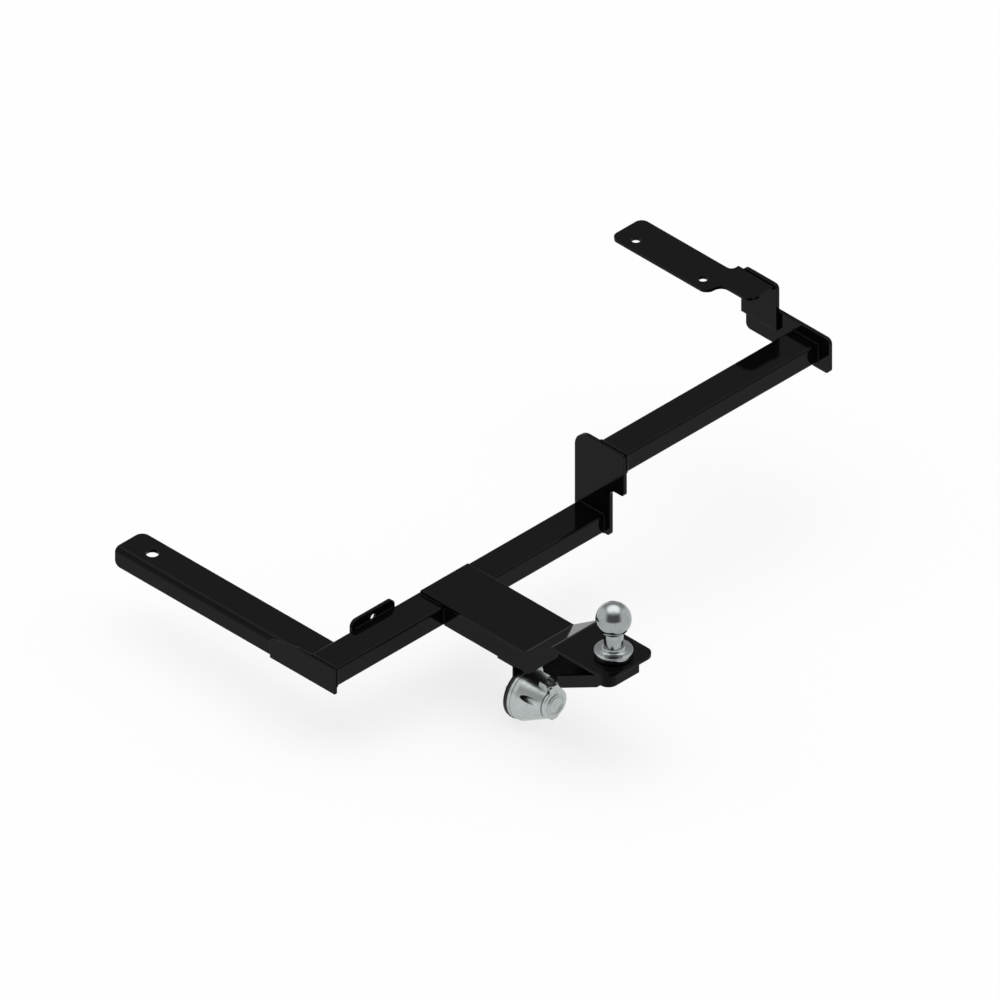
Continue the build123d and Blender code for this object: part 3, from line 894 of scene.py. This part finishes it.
@dataclass
class SocketLid:
    """The die-cast lid: its disc, its grip and the strap that swings on the pin."""

    axis_x: float = middle("lid_hinge_pin").x
    hinge_y: float = middle("lid_hinge_pin").y
    hinge_z: float = middle("lid_hinge_pin").z
    mouth_z: float = -174.0 * MM
    back: float = 92.8 * MM
    radius: float = 22.5 * MM
    thick: float = 5.0 * MM
    back_edge: float = 0.8 * MM
    front_edge: float = 1.8 * MM
    seal: float = 20.5 * MM
    seal_depth: float = 1.2 * MM
    boss: float = 16.0 * MM
    boss_rise: float = 2.0 * MM
    boss_foot: float = 0.8 * MM
    boss_edge: float = 0.7 * MM
    grip: float = 7.0 * MM
    grip_root: float = 20.0 * MM
    grip_end: float = -199.0 * MM
    grip_corner: float = 2.0 * MM
    grip_step: float = 1.0 * MM
    grip_edge: float = 0.7 * MM
    strap: float = 6.0 * MM
    strap_root: float = -162.7 * MM
    strap_edge: float = 0.5 * MM
    proud: float = 0.6 * MM
    cover: float = 9.5 * MM
    cover_gap: float = 2.9 * MM
    cover_foot: float = 4.3 * MM
    cover_shoulder: float = 0.8 * MM
    cover_top: float = 3.5 * MM
    cover_corner: float = 1.5 * MM
    knuckle: float = 4.5 * MM
    lug_foot: float = 1.0 * MM
    lug_face: float = 2.0 * MM
    lug_edge: float = 0.4 * MM
    slot: float = 3.0 * MM
    slot_foot: float = 5.0 * MM

    def rows(self) -> list[tuple[float, float]]:
        """Lists the disc's seal recess, rolled rim, boss, groove, ring and dished middle.

        Returns:
            Radius and height of each ring.
        """
        back, front = self.back_edge, self.front_edge
        rows = [(0.0, self.seal_depth), (self.seal, self.seal_depth), (self.seal, 0.0)]
        rows += arc((self.radius - back, back), back, 270, 360, 4)
        rows += arc((self.radius - front, self.thick - front), front, 0, 90, 6)
        foot, edge, top = self.boss_foot, self.boss_edge, self.thick + self.boss_rise
        rows += arc((self.boss + foot, self.thick + foot), foot, 270, 180, 4)
        rows += arc((self.boss - edge, top - edge), edge, 0, 90, 4)
        return rows + [(r * MM, top - depth * MM) for r, depth in LID_FACE]

    def grip_outline(self) -> list[tuple[float, float]]:
        """Corners of the grip below the disc, with its lower corners cut off."""
        root, end, cut = self.mouth_z - self.grip_root, self.grip_end, self.grip_corner
        return mirrored([(self.grip, root), (self.grip, end + cut), (self.grip - cut, end)])

    def strap_outline(self) -> list[tuple[float, float]]:
        """Corners of the strap between the disc and the slot."""
        root, end = self.strap_root, self.hinge_z - self.slot_foot
        return mirrored([(self.strap, root), (self.strap, end)])

    def cover_outline(self) -> list[tuple[float, float]]:
        """Draws the plate over the spring, wide below the pin and narrow above it.

        Returns:
            Its corners, as seen from the trailer.
        """
        shoulder, top = self.hinge_z + self.cover_shoulder, self.hinge_z + self.cover_top
        right_half = [
            (self.cover, self.hinge_z - self.slot_foot - self.cover_foot),
            (self.cover, shoulder),
            (self.strap, shoulder),
            (self.strap, top - self.cover_corner),
            (self.strap - self.cover_corner, top),
        ]
        return mirrored(right_half)

    def lug_outline(self) -> list[tuple[float, float]]:
        """Draws a hinge lug, round about the pin.

        Returns:
            Its corners, as Y and Z.
        """
        front, low = self.back - self.thick, self.hinge_z - self.slot_foot - self.lug_foot
        knuckle = arc((self.hinge_y, self.hinge_z), self.knuckle, -60, 240, 15)
        return [(front, low), (self.back, low), *knuckle, (front, self.hinge_z - self.lug_face)]

    def build(self, shop: PaintShop) -> None:
        """Builds the lid in place of its CAD node.

        Args:
            shop: Gives the piece its finish and its body.
        """
        disc = turned("lid_disc", self.rows(), [ahead(self.axis_x, self.back, self.mouth_z)])
        mesh = bmesh.new()
        mesh.from_mesh(disc.data)
        bpy.data.objects.remove(disc)
        flat = ahead(self.axis_x, self.back, 0.0)
        raised = ahead(self.axis_x, self.back - self.cover_gap, 0.0)
        face = self.thick + self.proud
        add_prism(mesh, self.grip_outline(), flat, self.thick - self.grip_step, self.grip_edge)
        add_prism(mesh, self.strap_outline(), flat, face - self.proud / 2, self.strap_edge)
        add_prism(mesh, self.cover_outline(), raised, face - self.cover_gap, self.strap_edge)
        across = Matrix(((0, 0, 1), (1, 0, 0), (0, 1, 0))).to_4x4()
        for start in (self.slot, -self.strap):
            place = Matrix.Translation((self.axis_x + start, 0, 0)) @ across
            add_prism(mesh, self.lug_outline(), place, self.strap - self.slot, self.lug_edge)
        made = keep_mesh("socket_lid_casting", mesh)
        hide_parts("socket_lid")
        shop.dress(made, "cast_aluminium", LID)


@dataclass
class LidSpring:
    """The torsion spring that shuts the lid, wound round its pin."""

    axis_x: float = middle("lid_hinge_pin").x
    hinge_y: float = middle("lid_hinge_pin").y
    hinge_z: float = middle("lid_hinge_pin").z
    wire: float = 1.2 * MM
    wire_sides: int = 10
    coil: float = 3.1 * MM
    coils: int = 3
    steps: int = 24
    width: float = 5.0 * MM

    def build(self, shop: PaintShop) -> None:
        """Winds the spring in place of its plain sleeve.

        Args:
            shop: Gives the piece its finish and its body.
        """
        count = self.coils * self.steps
        run = self.width - self.wire
        path = []
        for i in range(count + 1):
            turn = 2 * math.pi * i / self.steps
            x = self.axis_x - run / 2 + run * i / count
            y = self.hinge_y + self.coil * math.cos(turn)
            z = self.hinge_z + self.coil * math.sin(turn)
            path.append(Vector((x, y, z)))
        mesh = bmesh.new()
        add_tube(mesh, path, lambda i: self.wire / 2, self.wire_sides)
        made = keep_mesh("lid_torsion_spring", mesh)
        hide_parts("lid_spring")
        shop.dress(made, "stainless_steel", BODY)


@dataclass
class SocketScrews:
    """The three pan-head screws of the socket's flange, each with a cross recess."""

    axis_x: float = middle("socket_gasket").x
    axis_z: float = middle("socket_gasket").z
    circle: float = 31.0 * MM
    angles: tuple[int, ...] = (30, 150, 270)
    spin: float = 1.3
    seat: float = 138.2 * MM
    end: float = 154.7 * MM
    shank: float = 2.5 * MM
    point: float = 0.4 * MM
    point_length: float = 0.5 * MM
    head: float = 4.75 * MM
    head_round: float = 2.0 * MM
    rise: float = 4.0 * MM
    crown: float = 0.4 * MM
    crown_rings: int = 14
    recess_reach: float = 2.7 * MM
    recess_half_width: float = 0.6 * MM
    recess_depth: float = 1.4 * MM
    recess_slope: float = 0.5 * MM
    recess_zone: float = 1.2 * MM

    def cross(self, r: float, z: float, turn: float) -> float:
        """Sinks the cross recess into a screw's head.

        Args:
            r: Radius of a ring.
            z: Its height.
            turn: The angle of a point on it.

        Returns:
            How far the point's height changes.
        """
        on_crown = z >= self.rise - self.recess_zone and r <= self.recess_reach
        from_arm = min(abs(r * math.cos(turn)), abs(r * math.sin(turn)))
        if not on_crown or from_arm > self.recess_half_width:
            return 0.0
        return -self.recess_depth * min(1.0, (self.recess_reach - r) / self.recess_slope)

    def rows(self) -> list[tuple[float, float]]:
        """Lists a screw's outline, from its point to the middle of its crown.

        Returns:
            Radius and height of each ring, with the head's seat at 0.
        """
        tail = self.seat - self.end
        rows = [(0.0, tail), (self.shank - self.point, tail)]
        rows += [(self.shank, tail + self.point_length), (self.shank, 0.0), (self.head, 0.0)]
        corner = (self.head - self.head_round, self.rise - self.head_round - self.crown)
        rows += arc(corner, self.head_round, 0, 75, 6)
        rim, rim_height = rows[-1]
        for i in range(1, self.crown_rings + 1):
            share = i / self.crown_rings
            bulge = math.sin(math.pi / 2 * share)
            rows.append((rim * (1 - share), rim_height + (self.rise - rim_height) * bulge))
        return rows

    def build(self, shop: PaintShop) -> None:
        """Builds the screws in place of their CAD node, each stopped at another angle.

        Args:
            shop: Gives the piece its finish and its body.
        """
        places = []
        for angle in self.angles:
            turn = math.radians(angle)
            x = self.axis_x + self.circle * math.cos(turn)
            z = self.axis_z + self.circle * math.sin(turn)
            stop = Matrix.Rotation(math.radians(angle * self.spin), 4, "Z")
            places.append(ahead(x, self.seat, z) @ stop)
        made = turned("socket_screws_pan_head", self.rows(), places, 64, lift=self.cross)
        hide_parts("socket_screws")
        shop.dress(made, "zinc_steel", BODY)


@dataclass
class WeldBeads:
    """The fillet welds that hold the beam together, painted over with it.

    A bead's radius is its leg times a body, a scallop at each ripple and a slow wander, which
    adds sines with these shares, rates and starts.
    """

    leg: float = 1.7 * MM
    ripple: float = 2.4 * MM
    step: float = 0.6 * MM
    body: float = 0.86
    scallop: float = 0.12
    wander: tuple[tuple[float, float, float], ...] = ((0.06, 0.37, 0.0), (0.04, 0.11, 1.0))
    thin_end: float = 0.35
    taper_steps: int = 4
    around: int = 10
    tube_corner: float = 2.0 * MM
    clear: float = 8.0 * MM
    foot_clear: float = 24.0 * MM
    web_run: float = 72.0 * MM
    setback: float = 4.0 * MM
    below_edge: float = 1.0 * MM

    def run(self, mesh: bmesh.types.BMesh, corners: Sequence[Vector], closed: bool = False) -> None:
        """Lays one rippled bead along a line of corners.

        Args:
            mesh: The mesh that gets it.
            corners: The points that the bead joins with straight runs.
            closed: Whether it comes back to its first point.
        """
        points = list(corners) + ([corners[0]] if closed else [])
        path: list[Vector] = []
        for start, end in zip(points, points[1:]):
            count = max(1, round((end - start).length / self.step))
            path += [start.lerp(end, i / count) for i in range(count)]
        path.append(points[-1])
        last = len(path) - 1

        def size(i: int) -> float:
            """Makes the bead thin at its ends and scalloped between them.

            Args:
                i: The step's number.

            Returns:
                The bead's radius there.
            """
            scallop = self.scallop * abs(math.sin(math.pi * i * self.step / self.ripple))
            wander = sum(share * math.sin(i * rate + start) for share, rate, start in self.wander)
            from_end = min(i, last - i) / self.taper_steps
            taper = 1.0 if closed else min(1.0, self.thin_end + from_end)
            return self.leg * (self.body + scallop + wander) * taper

        add_tube(mesh, path, size, self.around)

    def round_tube(self, node: str, x: float) -> list[Vector]:
        """Follows the outline of a cross tube, with its rounded corners.

        Args:
            node: The tube's node.
            x: Where along the beam the bead goes round it.

        Returns:
            The bead's corners.
        """
        low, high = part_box(node)
        inset = self.tube_corner
        corners = (
            (high.y - inset, high.z - inset, 0),
            (low.y + inset, high.z - inset, 90),
            (low.y + inset, low.z + inset, 180),
            (high.y - inset, low.z + inset, 270),
        )
        outline = []
        for y, z, start in corners:
            outline += [Vector((x, *point)) for point in arc((y, z), inset, start, start + 90, 2)]
        return outline

    def seams(self) -> list[tuple[Vector, Vector]]:
        """Finds the straight seams of the arms, the webs and the socket's bracket.

        Returns:
            The two ends of each bead, kept short of rounded corners.
        """

        def along_x(start: float, end: float, y: float, z: float) -> tuple[Vector, Vector]:
            """Ends of a seam that runs along the beam."""
            return Vector((start, y, z)), Vector((end, y, z))

        def along_y(x: float, start: float, end: float, z: float) -> tuple[Vector, Vector]:
            """Ends of a seam that runs between trailer and car."""
            return Vector((x, start, z)), Vector((x, end, z))

        clear = self.clear
        upright_low, upright_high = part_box("right_upright")
        plate_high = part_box("right_end_plate")[1]
        shelf_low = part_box("right_arm_plate")[0]
        arm_low, arm_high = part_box("left_arm")
        foot_low, foot_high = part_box("socket_bracket")
        rear = plate_high.y - clear
        front = upright_low.y + clear
        found = [
            along_y(upright_high.x, front, rear, plate_high.z),
            along_y(upright_high.x, front, rear, upright_low.z),
            along_y(upright_low.x, front, rear, shelf_low.z),
            along_x(arm_low.x + clear, arm_high.x - clear, arm_low.y, arm_high.z),
            along_x(foot_low.x + self.foot_clear, foot_high.x - clear, foot_high.y, foot_high.z),
        ]
        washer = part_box("ball_washer")[1].y
        for node, face in (("left_gusset", 1), ("right_gusset", 0)):
            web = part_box(node)
            found.append(along_y(web[face].x, washer, web[0].y + self.web_run, web[1].z))
        return found

    def build(self, shop: PaintShop) -> None:
        """Lays every bead of the beam, the tongue, the plates and the arms.

        Args:
            shop: Gives the piece its finish and its body.
        """
        mesh = bmesh.new()
        for seam in self.seams():
            self.run(mesh, seam)
        for node in ("left_cross_tube", "right_cross_tube"):
            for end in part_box(node):
                self.run(mesh, self.round_tube(node, end.x), closed=True)
        tube_low, tube_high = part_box("left_cross_tube")
        plate_low, plate_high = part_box("top_plate")
        front = tube_low.y + self.setback
        top, edge = tube_high.z, tube_high.z - self.below_edge
        round_plate = (
            (plate_low.x, front),
            (plate_low.x, plate_high.y),
            (plate_high.x, plate_high.y),
            (plate_high.x, front),
        )
        self.run(mesh, [Vector((x, y, top)) for x, y in round_plate])
        bottom = tube_low.z + self.tube_corner
        for x in (plate_low.x, plate_high.x):
            self.run(mesh, [Vector((x, tube_low.y, edge)), Vector((x, tube_low.y, bottom))])
        tab_low, tab_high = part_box("rear_tab")
        tab_ends = (tab_low.x + self.setback, tab_high.x - self.setback)
        self.run(mesh, [Vector((x, tube_high.y, edge)) for x in tab_ends])
        made = keep_mesh("beam_weld_beads", mesh, 60.0)
        shop.dress(made, "painted_steel", BODY)


@dataclass(frozen=True)
class SoftSky:
    """A sky that is white overhead and round the horizon.

    Between them it is grey, brighter to the left and right of the camera and darker behind it,
    which chrome shows as pale sides and a dark middle. A way is a direction in the row frame, and
    its reach is the two cosines against that way between which the light changes.
    """

    overhead_way: tuple[float, float, float] = (0.1, 0.1, 0.99)
    overhead_reach: tuple[float, float] = (0.66, 0.97)
    overhead_light: tuple[float, float] = (0.5, 2.15)
    horizon_height: tuple[float, float] = (0.03, 0.28)
    flank_way: tuple[float, float, float] = (0.707, -0.707, 0.0)
    flank_reach: tuple[float, float] = (0.35, 0.8)
    curtain_way: tuple[float, float, float] = (-0.6, -0.6, 0.53)
    curtain_reach: tuple[float, float] = (0.45, 0.9)
    curtain_light: float = 0.35

    def build(self) -> None:
        """Makes it the scene's world."""
        world = bpy.context.scene.world or bpy.data.worlds.new("soft_sky")
        bpy.context.scene.world = world
        world.use_nodes = True
        tree = world.node_tree
        tree.nodes.clear()
        way = add(tree, "ShaderNodeTexCoord").outputs["Generated"]

        def along(fixed: tuple[float, float, float]) -> bpy.types.NodeSocket:
            """Measures how nearly a ray goes along a fixed way.

            Args:
                fixed: The way, as a unit vector.

            Returns:
                Its cosine with the direction of a ray.
            """
            dot = add(
                tree,
                "ShaderNodeVectorMath",
                {1: Vector(fixed)},
                {0: way},
                operation="DOT_PRODUCT",
            )
            return dot.outputs["Value"]

        height = add(tree, "ShaderNodeSeparateXYZ", links={"Vector": way}).outputs["Z"]
        above = along(self.overhead_way)
        overhead = ramp(tree, above, self.overhead_reach, self.overhead_light, smooth=True)
        horizon = ramp(tree, height, self.horizon_height, (1.0, 0.0), smooth=True)
        sideways = calc(tree, "ABSOLUTE", along(self.flank_way))
        flank = ramp(tree, sideways, self.flank_reach, smooth=True)
        behind = along(self.curtain_way)
        curtain = ramp(tree, behind, self.curtain_reach, (1.0, self.curtain_light), smooth=True)
        open_sky = calc(tree, "MAXIMUM", flank, overhead)
        hung = calc(tree, "MULTIPLY", open_sky, curtain)
        glow = add(
            tree,
            "ShaderNodeBackground",
            {"Color": linear("#FFFFFF")},
            {"Strength": calc(tree, "MAXIMUM", hung, horizon)},
        )
        add(tree, "ShaderNodeOutputWorld", links={"Surface": glow.outputs["Background"]})


@dataclass
class Studio:
    """The pale floor, the soft sky, the softbox and the photograph's camera.

    The picture is 1000 pixels wide, at 0.7361 pixels to the millimetre, and its middle lies to
    the left of the ball and above it.
    """

    floor: float
    floor_reach: float = 14.0
    roller_mark: float = 1000.0 / 6.0
    white_share: float = 0.75
    lamp_size: float = 2.4
    lamp_energy: float = 2.0
    lamp_place: tuple[float, float, float] = (0.35, 0.45, 2.4)
    lamp_target: tuple[float, float, float] = (0.1, 0.15, 0.0)
    picture_width: float = 1.0 / 0.7361
    picture_right: float = -0.1542
    picture_up: float = 0.1617
    camera_distance: float = 4.0

    def build_floor(self) -> None:
        """Lays a broad matt white floor."""
        mesh = bmesh.new()
        bmesh.ops.create_grid(mesh, x_segments=1, y_segments=1, size=self.floor_reach)
        bmesh.ops.translate(mesh, verts=mesh.verts, vec=(0, 0, self.floor))
        made = keep_mesh("studio_floor", mesh)
        finish, tree = blank("matt_white_studio_paint")
        place = add(tree, "ShaderNodeTexCoord").outputs["Object"]
        roller = noise(tree, place, self.roller_mark, 2.0)
        paint = add(
            tree,
            "ShaderNodeBsdfPrincipled",
            {"Roughness": 0.9, "Specular IOR Level": 0.1},
            {"Base Color": blend(tree, roller, "#FCFCFC", "#FAFAFA")},
        )
        # The photograph's background is white and its shadow faint: seen directly, in metal or
        # through a gap, most of the floor is plain white and the rest still takes the shadow.
        glow = add(tree, "ShaderNodeEmission", {"Color": linear("#FFFFFF"), "Strength": 1.0})
        path = add(tree, "ShaderNodeLightPath").outputs
        seen = calc(tree, "MAXIMUM", path["Is Camera Ray"], path["Is Glossy Ray"])
        through = calc(tree, "MAXIMUM", seen, path["Is Transmission Ray"])
        both = add(
            tree,
            "ShaderNodeMixShader",
            links={
                0: calc(tree, "MULTIPLY", through, self.white_share),
                1: paint.outputs["BSDF"],
                2: glow.outputs["Emission"],
            },
        )
        add(tree, "ShaderNodeOutputMaterial", links={"Surface": both.outputs["Shader"]})
        made.data.materials.append(finish)

    def build_lamp(self) -> None:
        """Hangs one broad softbox over the object."""
        lamp = bpy.data.lights.new("softbox", "AREA")
        lamp.shape = "SQUARE"
        lamp.size = self.lamp_size
        lamp.energy = self.lamp_energy
        holder = bpy.data.objects.new("softbox", lamp)
        bpy.context.scene.collection.objects.link(holder)
        place = Vector(self.lamp_place)
        turn = (Vector(self.lamp_target) - place).to_track_quat("-Z", "Y")
        holder.matrix_world = Matrix.Translation(place) @ turn.to_matrix().to_4x4()

    def build_camera(self) -> None:
        """Sets the photograph's straight isometric view."""
        right = Vector((1, -1, 0)).normalized()
        look = Vector((1, 1, -1)).normalized()
        up = right.cross(look)
        aim = right * self.picture_right + up * self.picture_up
        camera = bpy.data.cameras.new("isometric")
        camera.type = "ORTHO"
        camera.ortho_scale = self.picture_width
        camera.clip_start = 0.01
        camera.clip_end = 50.0
        holder = bpy.data.objects.new("isometric", camera)
        bpy.context.scene.collection.objects.link(holder)
        turn = Matrix((right, up, -look)).transposed().to_4x4()
        holder.matrix_world = Matrix.Translation(aim - look * self.camera_distance) @ turn
        bpy.context.scene.camera = holder

    def build(self) -> None:
        """Builds the whole studio."""
        self.build_floor()
        SoftSky().build()
        self.build_lamp()
        self.build_camera()
        bpy.context.scene.view_settings.view_transform = "Standard"
        LOG.info("studio built, floor at %.4f m", self.floor)


def main() -> None:
    """Builds the dressed tow bar and its studio."""
    logging.basicConfig(level=logging.INFO, format="%(name)s: %(message)s")
    Studio(CAD_BOX[0].z).build()
    shop = PaintShop()
    shop.dress_nodes()
    TowBall().build(shop)
    BallNut().build(shop)
    SocketLid().build(shop)
    LidSpring().build(shop)
    SocketScrews().build(shop)
    WeldBeads().build(shop)


if __name__ == "__main__":
    main()
